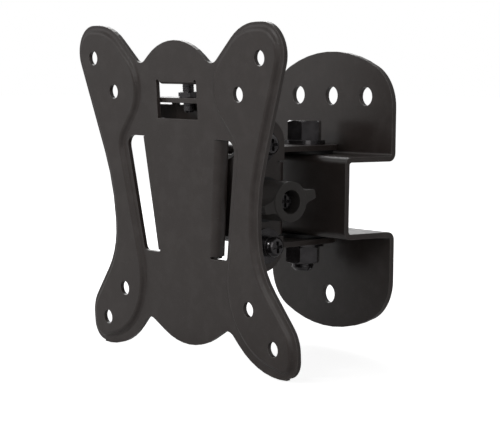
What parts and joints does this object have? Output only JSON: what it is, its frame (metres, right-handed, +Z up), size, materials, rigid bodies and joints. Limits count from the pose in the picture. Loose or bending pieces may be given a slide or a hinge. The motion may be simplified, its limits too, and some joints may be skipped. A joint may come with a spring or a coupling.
{
  "type": "tilt and swivel screen wall mount",
  "caption": "Black steel wall mount for a small screen, with a swivel bolt, a tilt clamp knob and a screen plate that hangs by a dovetail.",
  "frame": {"origin": "Middle between the two outer holes of the upper wall row, in the middle hole, on the back face of the wall bracket.", "axes": "+X to the right seen from the room, +Y into the wall, +Z up."},
  "size_m": [0.1228, 0.0798, 0.1227],
  "materials": {
    "black_powder_coat": "satin",
    "black_zinc": "gloss",
    "nylon": "matte",
    "knob_plastic": "matte"
  },
  "bodies": {
    "wall": {"wall_bracket": "black_powder_coat", "pivot_bolt": "black_zinc", "pivot_washer_top": "black_zinc", "pivot_washer_bottom": "black_zinc", "pivot_nut": "black_zinc"},
    "swivel": {"swivel_bracket": "black_powder_coat", "bearing_washer_top": "nylon", "bearing_washer_bottom": "nylon", "knob_washer": "nylon", "clamp_nut": "black_zinc", "clamp_nut_washer": "black_zinc"},
    "tilt_head": {"tilt_yoke": "black_powder_coat", "receiver": "black_powder_coat", "receiver_rivets": "black_zinc", "screen_plate": "black_powder_coat", "lock_screw": "black_zinc", "lock_nut": "black_zinc", "tilt_screws_right": "black_zinc", "tilt_screws_left": "black_zinc", "tilt_spacers_right": "black_zinc", "tilt_spacers_left": "black_zinc", "tilt_washers_right": "black_zinc", "tilt_washers_left": "black_zinc", "tilt_nuts_right": "black_zinc", "tilt_nuts_left": "black_zinc"},
    "knob": {"clamp_knob": "knob_plastic", "clamp_bolt": "black_zinc"}
  },
  "joints": [
    {"name": "swivel_joint", "type": "hinge", "parent": "wall", "child": "swivel", "pos_m": [0, -0.0155, -0.0372], "axis": [0, 0, 1], "range_deg": [-25, 25]},
    {"name": "tilt_joint", "type": "hinge", "parent": "swivel", "child": "tilt_head", "pos_m": [0, -0.0519, -0.0372], "axis": [1, 0, 0], "range_deg": [-14.3, 5.7]},
    {"name": "knob_turn", "type": "hinge", "parent": "swivel", "child": "knob", "pos_m": [0, -0.0519, -0.0372], "axis": [1, 0, 0], "range_deg": [0, 360]}
  ]
}
